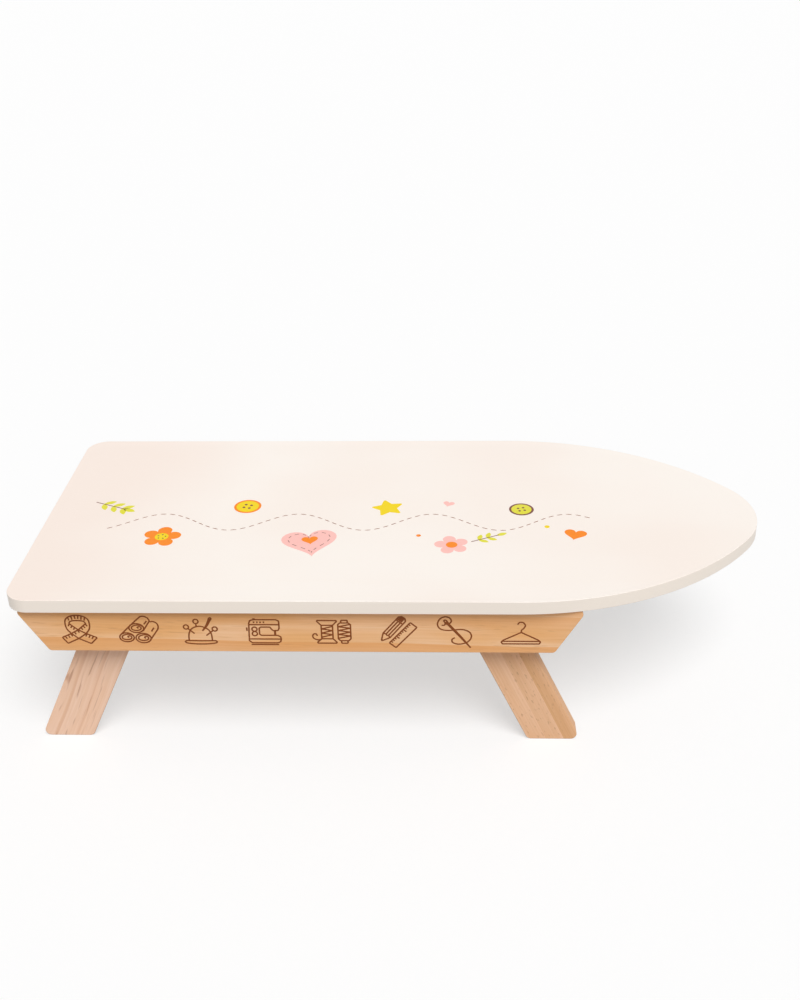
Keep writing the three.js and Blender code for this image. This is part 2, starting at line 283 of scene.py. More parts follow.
def make_wood_grain():
    """Growth rings about the tree's heart, which runs along X, with fibres and flecks that follow them."""
    number, vector = "NodeSocketFloat", "NodeSocketVector"
    tree, given, result = new_group(
        "ShaderNodeTree", "wood_grain",
        {"Place": vector, "Facing": vector, "Ring Width": number, "Late Share": number, "Wander": number,
         "Fleck Length": number},
        {"Latewood": number, "Fibre": number, "Blush": number, "Fleck": number, "End Grain": number,
         "Height": number})
    place = given["Place"]
    x, y, z = add(tree, "ShaderNodeSeparateXYZ", {0: place}).outputs
    across = add(tree, "ShaderNodeCombineXYZ", {1: y, 2: z}).outputs[0]
    radius = add(tree, "ShaderNodeVectorMath", {0: across}, operation="LENGTH").outputs["Value"]
    sway = about_zero(tree, stretched_noise(tree, place, GRAIN_SWAY), given["Wander"])
    ripple = about_zero(tree, stretched_noise(tree, place, GRAIN_RIPPLE),
                        calc(tree, "MULTIPLY", given["Wander"], RIPPLE_SHARE))
    swayed = calc(tree, "ADD", radius, calc(tree, "ADD", sway, ripple))
    rings = calc(tree, "DIVIDE", swayed, given["Ring Width"])
    year = add(tree, "ShaderNodeTexWhiteNoise", {"W": calc(tree, "FLOOR", rings)},
               noise_dimensions="1D").outputs["Value"]
    season = calc(tree, "FRACT", rings)
    late = rise(tree, season, calc(tree, "SUBTRACT", 1.0, given["Late Share"]), LATEWOOD_PEAK)
    late = calc(tree, "MULTIPLY", late, rise(tree, season, *RING_CLOSES, 1.0, 0.0))
    late = calc(tree, "MULTIPLY", late, rise(tree, year, 0.0, 1.0, FAINTEST_RING, 1.0))
    with_rings = add(tree, "ShaderNodeCombineXYZ", {0: x, 1: swayed, 2: y}).outputs[0]
    fibre = stretched_noise(tree, with_rings, FIBRES, detail=4.0)
    lengths = calc(tree, "DIVIDE", x, given["Fleck Length"])
    by_lengths = add(tree, "ShaderNodeCombineXYZ", {0: lengths, 1: swayed, 2: y}).outputs[0]
    fleck = rise(tree, stretched_noise(tree, by_lengths, FLECKS, detail=1.0), *FLECK_RANGE)
    patches = rise(tree, stretched_noise(tree, place, FLECKED_PATCHES), *FLECKED_PATCH_RANGE)
    fleck = calc(tree, "MULTIPLY", fleck, patches)
    along = add(tree, "ShaderNodeSeparateXYZ", {0: given["Facing"]}).outputs[0]
    feed(tree, result, {
        "Latewood": late, "Fibre": fibre, "Fleck": fleck,
        "Blush": rise(tree, stretched_noise(tree, place, BLUSHES), *BLUSH_RANGE),
        "End Grain": rise(tree, calc(tree, "ABSOLUTE", along), *END_GRAIN_RANGE),
        "Height": calc(tree, "ADD", calc(tree, "MULTIPLY", late, 0.5), calc(tree, "MULTIPLY", fibre, 0.5))})
    return tree


wood_grain = make_wood_grain()


def new_material(name):
    """A material, its tree of nodes and its one shader."""
    material = bpy.data.materials.new(name)
    material.use_nodes = True
    tree = material.node_tree
    return material, tree, tree.nodes["Principled BSDF"]


def grain_in(tree, heart, turn, ring_width, late_share, wander, fleck_length):
    """Places the wood grain in a material. The heart line runs through 'heart', along the turned X axis."""
    coordinates = add(tree, "ShaderNodeTexCoord", {})
    place = add(tree, "ShaderNodeMapping", {"Vector": coordinates.outputs["Object"], "Location": heart,
                                            "Rotation": turn}, vector_type="TEXTURE")
    facing = add(tree, "ShaderNodeMapping", {"Vector": coordinates.outputs["Normal"], "Rotation": turn},
                 vector_type="TEXTURE")
    inputs = {"Place": place.outputs[0], "Facing": facing.outputs[0], "Ring Width": ring_width,
              "Late Share": late_share, "Wander": wander, "Fleck Length": fleck_length}
    return add(tree, "ShaderNodeGroup", inputs, node_tree=wood_grain).outputs


def wood(name, early, late, blush, fleck, end, heart, turn, ring_width, late_share, wander, fleck_amount,
         roughness, fleck_length=13 * mm, late_amount=0.9, blush_amount=0.5):
    """Sawn and sanded wood. The amounts say how strongly latewood, broad patches and flecks show."""
    material, tree, shader = new_material(name)
    grain = grain_in(tree, heart, turn, ring_width, late_share, wander, fleck_length)
    tone = tinted(tree, early, blush, grain["Blush"], blush_amount)
    tone = tinted(tree, tone, late, grain["Latewood"], late_amount)
    tone = tinted(tree, tone, fleck, grain["Fleck"], fleck_amount)
    tone = tinted(tree, tone, end, grain["End Grain"], END_GRAIN_AMOUNT)
    fibres = add(tree, "ShaderNodeCombineColor", {
        i: rise(tree, grain["Fibre"], *NOISE_RANGE, *tints) for i, tints in enumerate(FIBRE_TINTS)})
    feed(tree, shader, {
        "Base Color": mix(tree, 1.0, tone, fibres.outputs[0], "MULTIPLY"),
        "Roughness": rise(tree, grain["Height"], *WOOD_RELIEF_RANGE, roughness + WOOD_ROUGHNESS_SWING,
                          roughness - WOOD_ROUGHNESS_SWING),
        "Specular IOR Level": WOOD_SPECULAR,
        "Normal": relief(tree, grain["Height"], WOOD_RELIEF, WOOD_RELIEF_DEPTH)})
    return material


rail_pine = wood(
    "rail_pine", early=colour(253, 210, 169), late=colour(236, 169, 104), blush=colour(240, 178, 108),
    fleck=colour(196, 138, 88), end=colour(196, 138, 84), heart=(0, -95 * mm, 43.7 * mm),
    turn=(0, math.radians(1), 0), ring_width=11 * mm, late_share=2, wander=6 * mm, blush_amount=0.75,
    fleck_amount=0.3, roughness=0.45)

for face in FACES:
    low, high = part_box(f"{face}_rail")
    slope = (high.z - low.z) * math.tan(RAIL_END_SLOPE)
    start, stop = low.x - RAIL_TIP_LOST, high.x + RAIL_TIP_LOST
    outline = rounded_outline([
        (Vector((start, low.y, high.z)), RAIL_TOP_CORNER),
        (Vector((stop, low.y, high.z)), RAIL_TOP_CORNER),
        (Vector((stop - slope, low.y, low.z)), RAIL_BOTTOM_CORNER),
        (Vector((start + slope, low.y, low.z)), RAIL_BOTTOM_CORNER),
    ])
    rail = sawn_board(f"{face}_pine_rail", outline, Vector((0, high.y - low.y, 0)), RAIL_EDGE)
    bits = bmesh.new()
    for end in ENDS:
        for node in ("upper_dowel", "lower_dowel", "threaded_insert"):
            drill_for(bits, f"{end}_{face}_{node}")
    finish_board(rail, bits, rail_pine)
    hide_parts(f"{face}_rail")
    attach(rail, "board")

# Figures on the front rail
# Eight sewing and laundry figures in brown line, printed on the lacquered face of the front rail.
# Each is a list of strokes in millimetres about the figure's middle, and one node tree draws them all.

FIGURE_MIDDLE = 95 * mm
FIGURE_LINE = 1 * mm
FIGURE_PROUD = 0.04 * mm
FIGURE_CORNER = 0.5 * mm
LINE_SIDES = 8
CORNER_POINTS = 3
RING_RADIUS = 1.6
RING_POINTS = 14
THREAD_LEAN = 0.62
INK_CLOUDS = (60, 60)
INK_CLOUD_RANGE = (0.35, 0.7)
INK_GRIT = (1500, 1500)
INK_GRIT_RANGE = (0.35, 0.65)
INK_FADING = 0.35
INK_ROUGHNESS = (0.42, 0.58)
INK_SPECULAR = 0.2
INK_RELIEF = 0.12
INK_RELIEF_DEPTH = 0.03 * mm


def round_angles(count):
    return [math.tau * i / count for i in range(count)]


def ellipse(x, z, half_width, half_height, count=20):
    """Points round an ellipse, which end where they start."""
    points = [(x + half_width * math.cos(a), z + half_height * math.sin(a)) for a in round_angles(count)]
    return points + points[:1]


def ring(x, z):
    """A small ring: the head of a pin, or a knob."""
    return ellipse(x, z, RING_RADIUS, RING_RADIUS, RING_POINTS)


def flowing(points, count=5):
    """A smooth line through the points."""
    ends = [points[0], *points, points[-1]]
    line = []
    for a, b, c, d in zip(ends, ends[1:], ends[2:], ends[3:]):
        for i in range(count):
            t = i / count
            line.append(tuple(
                0.5 * (2 * b[k] + (c[k] - a[k]) * t + (2 * a[k] - 5 * b[k] + 4 * c[k] - d[k]) * t ** 2
                       + (3 * b[k] - a[k] - 3 * c[k] + d[k]) * t ** 3) for k in (0, 1)))
    return [*line, points[-1]]


def roll_end(x, z, half_width, half_height):
    """The end of a roll of cloth: its rim, and the cloth's edge that winds in to the core."""
    winding = flowing([(0.96, 0.2), (0.6, 0.62), (0, 0.66), (-0.56, 0.32), (-0.6, -0.24), (-0.1, -0.52),
                       (0.5, -0.36), (0.66, 0.06), (0.42, 0.34), (0.14, 0.16), (0.3, -0.06)])
    return [ellipse(x, z, half_width, half_height),
            [(x + half_width * a, z + half_height * b) for a, b in winding]]


def ticks(start, end, count, reach):
    """Short strokes that leave a line at even steps, each running by 'reach'."""
    strokes = []
    for i in range(count):
        share = (i + 0.5) / count
        x, z = (start[k] + (end[k] - start[k]) * share for k in (0, 1))
        strokes.append([(x, z), (x + reach[0], z + reach[1])])
    return strokes


def tilted(strokes, x, z, degrees):
    """Strokes drawn along X, turned and moved to their place."""
    cosine, sine = math.cos(math.radians(degrees)), math.sin(math.radians(degrees))
    return [[(x + a * cosine - b * sine, z + a * sine + b * cosine) for a, b in stroke] for stroke in strokes]


def wound(left, right, top, pitch, turns):
    """Thread wound on a core: strokes that run steeply to the left and flatly back, and end on the left."""
    strokes = []
    for i in range(turns + 1):
        z = top - pitch * i
        left_end = (left, z - THREAD_LEAN * pitch)
        strokes += [[(right, z), left_end], [left_end, (right, z - pitch)]]
    return strokes[:-1]


tape_measure = [
    [(7.0, -10.4), (-0.5, -6.6), *flowing([(-4.7, -2.8), (-7.3, 1.2), (-7.4, 7.0), (-4.5, 10.0), (0, 10.9),
                                           (4.5, 10.0), (7.4, 7.0), (7.3, 1.2), (4.7, -2.8)]),
     (-0.5, -6.6), (-7.8, -10.3), (-10.9, -5.8), (-4.7, -2.8)],
    [(7.0, -10.4), (11.3, -5.9), (4.7, -2.8)],
    [*flowing([(-5.3, 4.7), (-4.5, 6.1), (-2.8, 6.8), (0, 7.0), (2.8, 6.8), (4.5, 6.1), (5.3, 4.7)]),
     (0, 0), (-4.7, -2.8)],
    [(-5.3, 4.7), (0, 0), (4.7, -2.8)],
    *ticks((-6.4, 9.1), (-0.2, 10.9), 3, (0.4, -2.4)),
    *ticks((0.2, 10.9), (6.2, 9.1), 3, (-0.4, -2.4)),
    *ticks((-5.8, 5.2), (-1.2, 1.2), 3, (-1.0, -1.8)),
    *ticks((1.2, 1.2), (5.8, 5.2), 3, (1.0, -1.8)),
    *ticks((-3.8, -2.3), (0.6, 0.4), 2, (1.0, -1.8)),
    *ticks((-9.9, -5.3), (-4.3, -2.6), 3, (1.1, -2.0)),
    *ticks((4.3, -2.6), (9.9, -5.3), 3, (-1.1, -2.0)),
]

cloth_rolls = [
    *roll_end(-8.1, -5.5, 4.6, 3.4), *roll_end(2.4, -6.0, 4.8, 3.6), *roll_end(-1.4, 1.5, 4.7, 3.4),
    [(-12.2, -4.0), (-5.6, 2.9), *flowing([(0.6, 9.0), (2.4, 10.3), (4.6, 10.2), (6.6, 8.9), (7.4, 6.8)]),
     (2.6, -0.8)],
    [*flowing([(7.6, 6.2), (9.6, 6.5), (11.8, 5.2), (12.6, 2.8), (12.1, 0.6)]), (6.5, -7.6)],
    [(3.7, 4.4), (5.7, 6.9)],
    [(8.0, -1.0), (9.8, 1.9)],
]

pin_cushion = [
    flowing([(-7.8, -7.7), (-7.4, -2.4), (-5.2, 1.4), (-0.5, 3.1), (4.4, 1.2), (6.6, -2.6), (6.9, -7.7)]),
    [*flowing([(-10.4, -8.5), (-9.3, -9.5), (-4.6, -10.2), (0.2, -10.3), (5.0, -10.1), (9.0, -9.5),
               (9.9, -8.5)]), (9.0, -7.7), (0, -7.9), (-9.3, -7.7), (-10.4, -8.5)],
    ring(-8.9, 2.5), [(-7.8, 1.3), (-3.9, -2.4)],
    ring(-2.5, 6.7), [(-2.5, 5.1), (-2.4, 2.9)],
    ring(9.1, 1.1), [(8.0, 0), (3.4, -3.9)],
    [(1.3, -0.4), (4.0, 4.0), (5.8, 8.3)], [(1.3, -0.4), (4.7, 3.8), (6.9, 8.1)],
    [(4.4, 4.0), (5.8, 8.8), (6.6, 9.6), (7.4, 9.2), (7.2, 8.2), (4.4, 4.0)], [(5.1, 5.4), (6.5, 8.8)],
]

sewing_machine = [
    [(-9.9, -7.6), (-9.4, 5.4), (-8.7, 7.5), (-6.8, 8.2), (7.6, 8.2), (9.2, 7.4), (9.4, 6.2), (9.4, 1.8),
     (8.6, 0.2), (5.7, 0.0), (4.6, 1.0), (3.7, 2.7), (-2.2, 2.7), (-3.1, 1.8), (-3.1, -2.6), (-2.1, -3.5),
     (8.2, -3.5), (10.0, -4.6), (10.3, -6.4), (9.8, -8.3), (8.2, -9.2), (-8.0, -9.2), (-9.9, -7.6)],
    [(-9.5, 4.5), (9.4, 4.5)], [(-9.9, -6.3), (10.3, -6.3)], [(-8.8, -10.5), (8.7, -10.5)],
    [(6.5, 0), (6.5, -3.5)], [(6.9, 0), (6.9, -3.5)],
    [(-10.9, 2.4), (-10.9, -0.2)], [(-6.9, 8.7), (-5.3, 8.7)], ring(-6.1, 1.1), ring(-6.1, -2.3),
    *ticks((-7.3, 6.9), (0.9, 6.9), 4, (0, -1.2)),
]

thread_spools = [
    [(-10.1, 7.8), (3.5, 7.8), (0.3, 4.2), (0.3, -5.9), (3.3, -9.2), (-10.2, -9.2), (-6.8, -5.9), (-6.8, 4.2),
     (-10.1, 7.8)],
    [(-6.8, 4.2), (0.3, 4.2)], [(-6.8, -5.9), (0.3, -5.9)], *wound(-6.8, 0.3, 3.4, 3.1, 2),
    flowing([(-6.9, -6.4), (-9.3, -6.7), (-11.6, -5.7), (-12.4, -4.0), (-11.7, -2.4), (-10.2, -2.3),
             (-9.5, -3.7)]),
    [(4.9, 6.0), (10.2, 6.0), (11.5, 4.8), (11.5, -5.9), (10.2, -7.3), (4.9, -7.3), (3.6, -5.9), (3.6, 4.8),
     (4.9, 6.0)],
    [(5.6, 6.0), (5.6, 8.0), (9.6, 8.0), (9.6, 6.0)], [(5.6, -7.3), (5.6, -9.2), (9.6, -9.2), (9.6, -7.3)],
    *wound(3.6, 11.5, 5.0, 2.9, 3),
]

pencil = tilted([
    [(0, 0), (5.4, 2.7), (21.0, 2.7), (22.5, 1.4), (22.5, -1.4), (21.0, -2.7), (5.4, -2.7), (0, 0)],
    [(5.4, 2.7), (6.2, 0.9), (5.6, 0), (6.2, -0.9), (5.4, -2.7)],
    [(6.2, 0.9), (18.4, 0.9)], [(6.2, -0.9), (18.4, -0.9)], [(18.4, 2.7), (18.4, -2.7)], [(0.4, 0), (1.6, 0)],
    *([(19.0, y), (22.0, y * 0.8)] for y in (-1.0, -0.3, 0.4, 1.1, 1.8)),
], -11.2, -7.4, 51)
ruler = tilted([
    [(0, 0), (20.2, 0), (20.2, -5.4), (0, -5.4), (0, 0)],
    *ticks((0.9, 0), (19.3, 0), 11, (0, -1.5)),
    *ticks((3.4, 0), (16.8, 0), 2, (0, -2.6)),
], -6.1, -8.8, 49)

needle_and_thread = [
    [(-5.4, 6.3), (9.9, -12.2)], [(-3.9, 5.9), (4.2, -4.2), (9.9, -12.2)], [(-4.8, 6.3), (4.0, -5.0)],
    [(-7.0, 8.0), (-6.3, 8.6), (-5.3, 8.2), (-3.7, 5.7), (-5.3, 5.3), (-7.0, 8.0)],
    flowing([(-8.2, 4.6), (-6.5, 4.8), (-5.5, 6.9), (-3.4, 6.0), (-2.2, 7.9), (-3.4, 10.1), (-6.3, 10.9),
             (-9.5, 9.0), (-10.8, 5.1), (-8.9, 1.8), (-4.4, 0.8), (0.5, 1.3), (5.2, 1.4), (9.0, -0.4),
             (10.3, -3.6), (8.8, -7.0), (5.3, -9.1), (1.2, -9.4), (-1.5, -8.0), (-1.7, -5.9), (0, -4.7)]),
]

coat_hanger = [
    [(0, -0.5), (-10.8, -6.2), (-12.3, -7.7), (-11.4, -9.1), (11.3, -9.1), (12.2, -7.7), (10.7, -6.2),
     (0, -0.5)],
    [(-11.6, -7.2), (11.5, -7.2)],
    flowing([(0, -0.5), (0.2, 1.2), (1.6, 2.7), (2.4, 4.8), (1.2, 6.7), (-1.0, 7.0), (-2.4, 5.4)]),
]

# Where the middle of each figure lies along the rail, in millimetres.
figures = {
    -198.6: tape_measure, -160.2: cloth_rolls, -121.2: pin_cushion, -81.0: sewing_machine,
    -38.4: thread_spools, 3.2: pencil + ruler, 38.0: needle_and_thread, 79.1: coat_hanger,
}


def wire(name, strokes):
    """Strokes as bare edges, in metres in the XY plane. A stroke that ends where it starts is closed."""
    points, edges = [], []
    for stroke in strokes:
        closed = stroke[0] == stroke[-1]
        line = stroke[:-1] if closed else stroke
        first = len(points)
        points += [(x * mm, y * mm, 0) for x, y in line]
        edges += [(first + i, first + i + 1) for i in range(len(line) - 1)]
        if closed:
            edges.append((len(points) - 1, first))
    mesh = bpy.data.meshes.new(name)
    mesh.from_pydata(points, edges, [])
    return in_scene(name, mesh)


def grow(piece, tree, sizes):
    """Runs a node tree on a piece with these inputs, and keeps what it makes as the piece's plain mesh."""
    modifier = piece.modifiers.new(tree.name, "NODES")
    modifier.node_group = tree
    sockets = {item.name: item.identifier for item in tree.interface.items_tree if item.in_out == "INPUT"}
    for name, value in sizes.items():
        modifier[sockets[name]] = value
    keep_as_made(piece)
    piece.data.materials.clear()
    piece.data.materials.append(sizes["Finish"])


def new_geometry_tree(name, shape, numbers):
    """A tree that takes a shape, numbers with these names and a finish, and makes geometry."""
    sockets = {shape: "NodeSocketGeometry", **dict.fromkeys(numbers, "NodeSocketFloat"),
               "Finish": "NodeSocketMaterial"}
    return new_group("GeometryNodeTree", name, sockets, {"Geometry": "NodeSocketGeometry"})


def end_tree(tree, made, given, result):
    """Ends a tree that makes geometry, with everything real and in the given finish."""
    plain = add(tree, "GeometryNodeRealizeInstances", {0: made.outputs[0]})
    finished = add(tree, "GeometryNodeSetMaterial", {0: plain.outputs[0], "Material": given["Finish"]})
    feed(tree, result, {"Geometry": finished.outputs[0]})


def make_drawn_lines():
    """Gives every edge line a low domed section and rounded corners, drawn in the XY plane."""
    tree, given, result = new_geometry_tree(
        "drawn_lines", "Lines", ("Line Width", "Line Depth", "Corner Radius"))
    path = add(tree, "GeometryNodeMeshToCurve", {0: given["Lines"]})
    rounded = add(tree, "GeometryNodeFilletCurve",
                  {"Curve": path.outputs[0], "Radius": given["Corner Radius"], "Limit Radius": True,
                   "Count": CORNER_POINTS}, mode="POLY")
    upright = add(tree, "GeometryNodeSetCurveNormal", {"Curve": rounded.outputs[0]}, mode="Z_UP")
    circle = add(tree, "GeometryNodeCurvePrimitiveCircle", {"Resolution": LINE_SIDES, "Radius": 0.5})
    flat = add(tree, "ShaderNodeCombineXYZ", {0: given["Line Width"], 1: given["Line Depth"], 2: 1.0})
    section = add(tree, "GeometryNodeTransform", {"Geometry": circle.outputs[0], "Scale": flat.outputs[0]})
    line = add(tree, "GeometryNodeCurveToMesh",
               {"Curve": upright.outputs[0], "Profile Curve": section.outputs[0], "Fill Caps": True})
    end_tree(tree, line, given, result)
    return tree


def printed_ink(name, body, faded):
    """Opaque ink, a little faded and uneven where the pad pressed less."""
    material, tree, shader = new_material(name)
    place = add(tree, "ShaderNodeTexCoord", {}).outputs["Object"]
    cloud = rise(tree, stretched_noise(tree, place, INK_CLOUDS), *INK_CLOUD_RANGE)
    grit = stretched_noise(tree, place, INK_GRIT, detail=3.0)
    uneven = calc(tree, "MULTIPLY", cloud, rise(tree, grit, *INK_GRIT_RANGE, 0.2, 1.0))
    feed(tree, shader, {
        "Base Color": tinted(tree, body, faded, uneven, INK_FADING),
        "Roughness": rise(tree, grit, *NOISE_RANGE, *INK_ROUGHNESS),
        "Specular IOR Level": INK_SPECULAR,
        "Normal": relief(tree, grit, INK_RELIEF, INK_RELIEF_DEPTH)})
    return material


front_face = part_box("front_rail")[0].y
drawn_lines = make_drawn_lines()
brown_line = printed_ink("brown_line", body=colour(132, 68, 26), faded=colour(158, 94, 48))
rail_figures = wire("rail_figures", [
    [(x + middle, z + FIGURE_MIDDLE / mm) for x, z in stroke]
    for middle, strokes in figures.items() for stroke in strokes])
grow(rail_figures, drawn_lines, {"Line Width": FIGURE_LINE, "Line Depth": 2 * FIGURE_PROUD,
                                 "Corner Radius": FIGURE_CORNER, "Finish": brown_line})
rail_figures.data.transform(Matrix.Translation((0, front_face, 0)) @ Matrix.Rotation(QUARTER_TURN, 4, "X"))
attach(rail_figures, "board")

# Cross rails
# Two pine battens between the side rails, one near each end, which hold the frame square. Two beech dowels
# are glued into each of their ends and the side rail, and countersunk holes take the screws of the top.

CROSS_RAIL_EDGE = 0.6 * mm
SCREW_HOLE = 1.85 * mm
COUNTERSINK = 3.6 * mm
COUNTERSINK_DEPTH = 2.4 * mm

frame_pine = wood(
    "frame_pine", early=colour(248, 212, 174), late=colour(226, 170, 118), blush=colour(243, 196, 154),
    fleck=colour(170, 112, 70), end=colour(190, 136, 88), heart=(30 * mm, 0, 128 * mm),
    turn=(0, 0, QUARTER_TURN), ring_width=6.5 * mm, late_share=0.6, wander=9 * mm, fleck_length=5 * mm,
    fleck_amount=0.25, roughness=0.62)
beech = wood(
    "beech", early=colour(234, 188, 150), late=colour(218, 166, 126), blush=colour(230, 178, 140),
    fleck=colour(182, 126, 92), end=colour(192, 138, 102), heart=(40 * mm, 0, 60 * mm),
    turn=(0, 0, QUARTER_TURN), ring_width=4 * mm, late_share=0.5, wander=5 * mm, fleck_length=2 * mm,
    late_amount=0.6, fleck_amount=0.35, roughness=0.5)

for end in ENDS:
    low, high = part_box(f"{end}_cross_rail")
    outline = [Vector((x, low.y, z)) for x, z in
               ((low.x, low.z), (high.x, low.z), (high.x, high.z), (low.x, high.z))]
    through = Vector((0, high.y - low.y, 0))
    cross_rail = sawn_board(f"{end}_pine_cross_rail", outline, through, CROSS_RAIL_EDGE)
    bits, sinks = bmesh.new(), bmesh.new()
    sink = Vector((0, 0, COUNTERSINK_DEPTH))
    for face in FACES:
        drill_for(bits, f"{end}_{face}_upper_dowel")
        drill_for(bits, f"{end}_{face}_lower_dowel")
        screw_low, screw_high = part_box(f"{end}_{face}_screw")
        foot = (screw_low + screw_high) / 2
        foot.z = low.z
        drill_bit(bits, foot - sink, Vector((foot.x, foot.y, high.z)) + sink, SCREW_HOLE)
        drill_bit(sinks, foot - sink, foot + sink, 2 * COUNTERSINK - SCREW_HOLE, SCREW_HOLE)
    drill(cross_rail, bits)
    finish_board(cross_rail, sinks, frame_pine)
    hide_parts(f"{end}_cross_rail")
    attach(cross_rail, "board")
    for face in FACES:
        for level in ("upper", "lower"):
            dowel = frame["nodes"][f"{end}_{face}_{level}_dowel"]
            dowel.material_slots[0].material = beech

# Painted top
# A solid board with a rounded nose, painted cream all over and rubbed down to a satin finish.
# It is glued to the frame and held by four screws that come up through the cross rails.

TOP_CORNER_RADIUS = 15 * mm
TOP_SIDE_RADIUS = 190 * mm
TOP_NOSE_RADIUS = 58.5 * mm
TOP_EDGE = 0.3 * mm
PILOT_DEPTH_PLAY = 0.1 * mm
PAINT_CLOUDS = (5, 7)
PAINT_CLOUD_RANGE = (0.35, 0.65)
PAINT_CLOUD_AMOUNT = 0.5
# The left end of the top is painted warmer and darker: partly the paint's own tone, partly painted shade.
SHADED_END_SWAY = 200 * mm
SHADED_END_RANGE = (-240 * mm, -100 * mm)
SHADED_END_AMOUNT = 0.9
GRAIN_UNDER_PAINT = 0.12
# Painted shade on the side faces: faces whose normal points this little up take the edge tone.
PAINT_SIDE_SHADE_RANGE = (0.2, 0.85)
PAINT_STROKES = (30, 500)
PAINT_ORANGE_PEEL = (900, 900)
PAINT_ROUGHNESS = (0.38, 0.5)
PAINT_GRAIN_SHARE = 0.6
PAINT_STROKE_SHARE = 0.25
PAINT_PEEL_SHARE = 0.3
PAINT_RELIEF = 0.12
PAINT_RELIEF_DEPTH = 0.08 * mm


def satin_paint(name, body, warm_tone_and_shade, edge):
    """Rubbed paint whose tone drifts a little, over a board whose grain just shows through as relief.
    Painted shade: a warmer, darker tone towards the left end, partly the paint's own, and a darker,
    warmer tone on the side faces."""
    material, tree, shader = new_material(name)
    grain = grain_in(tree, heart=(0, 20 * mm, -160 * mm), turn=(0, 0, 0), ring_width=7 * mm,
                     late_share=0.5, wander=14 * mm, fleck_length=12 * mm)
    coordinates = add(tree, "ShaderNodeTexCoord", {}).outputs
    place = coordinates["Object"]
    cloud = stretched_noise(tree, place, PAINT_CLOUDS)
    x = add(tree, "ShaderNodeSeparateXYZ", {0: place}).outputs[0]
    sway = about_zero(tree, cloud, SHADED_END_SWAY)
    # Painted shade, in part: the tone grows warmer and darker towards the left end.
    shaded_warm_end = rise(tree, calc(tree, "ADD", x, sway), *SHADED_END_RANGE, SHADED_END_AMOUNT, 0.0)
    drift_and_shade = calc(tree, "MAXIMUM", rise(tree, cloud, *PAINT_CLOUD_RANGE, 0.0, PAINT_CLOUD_AMOUNT), shaded_warm_end)
    strokes = stretched_noise(tree, place, PAINT_STROKES)
    orange_peel = stretched_noise(tree, place, PAINT_ORANGE_PEEL)
    tone = mix(tree, drift_and_shade, body, warm_tone_and_shade)
    tone = mix(tree, rise(tree, grain["Latewood"], 0.0, 1.0, 0.0, GRAIN_UNDER_PAINT), tone, edge)
    upright = add(tree, "ShaderNodeSeparateXYZ", {0: coordinates["Normal"]}).outputs[2]
    # Painted shade and painted warm bounce light: the side faces take the darker, warmer edge tone.
    tone = mix(tree, rise(tree, calc(tree, "ABSOLUTE", upright), *PAINT_SIDE_SHADE_RANGE, 1.0, 0.0), tone, edge)
    height = calc(tree, "ADD", calc(tree, "MULTIPLY", grain["Height"], PAINT_GRAIN_SHARE),
                  calc(tree, "ADD", calc(tree, "MULTIPLY", strokes, PAINT_STROKE_SHARE),
                       calc(tree, "MULTIPLY", orange_peel, PAINT_PEEL_SHARE)))
    feed(tree, shader, {
        "Base Color": tone,
        "Roughness": rise(tree, strokes, *NOISE_RANGE, *PAINT_ROUGHNESS),
        "Normal": relief(tree, height, PAINT_RELIEF, PAINT_RELIEF_DEPTH)})
    return material


def corner_nodes(kind):
    return [f"{end}_{face}_{kind}" for end in ENDS for face in FACES]


low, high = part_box("top_board")
half_width = high.y
nose_centre = Vector((high.x - TOP_NOSE_RADIUS, 0, low.z))
shoulder_x = nose_centre.x - math.sqrt(
    (TOP_SIDE_RADIUS - TOP_NOSE_RADIUS) ** 2 - (TOP_SIDE_RADIUS - half_width) ** 2)
corner_centre = Vector((low.x + TOP_CORNER_RADIUS, TOP_CORNER_RADIUS - half_width, low.z))
front_half = arc(corner_centre, corner_centre - Vector((TOP_CORNER_RADIUS, 0, 0)),
                 corner_centre - Vector((0, TOP_CORNER_RADIUS, 0)))
side_centre = Vector((shoulder_x, TOP_SIDE_RADIUS - half_width, low.z))
meeting = nose_centre + (nose_centre - side_centre).normalized() * TOP_NOSE_RADIUS
front_half += arc(side_centre, side_centre - Vector((0, TOP_SIDE_RADIUS, 0)), meeting)
front_half += arc(nose_centre, meeting, nose_centre + Vector((TOP_NOSE_RADIUS, 0, 0)))[1:]
rear_half = [Vector((point.x, -point.y, point.z)) for point in front_half[-2::-1]]
top = sawn_board("painted_top_board", front_half + rear_half, Vector((0, 0, high.z - low.z)), TOP_EDGE)
bits = bmesh.new()
for node in corner_nodes("screw"):
    screw_low, screw_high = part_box(node)
    tip = (screw_low + screw_high) / 2
    tip.z = screw_high.z + PILOT_DEPTH_PLAY
    drill_bit(bits, Vector((tip.x, tip.y, low.z - DRILL_END_ROOM)), tip, SCREW_HOLE)
# The warm tone serves the random drift and the painted shade at the left end; the edge tone tints the grain
# and paints shade on the side faces.
finish_board(top, bits, satin_paint(
    "cream_paint", body=colour(253, 245, 237), warm_tone_and_shade=colour(249, 233, 222), edge=colour(252, 241, 229)))
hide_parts("top_board")
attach(top, "board")
top_face = high.z

# Print on the top
# A running thread with hearts, buttons, flowers, a star and leaf sprigs, printed on the cream paint in
# five inks. Each ink is one piece of thin patches, and a node tree lays the stitches along their path.

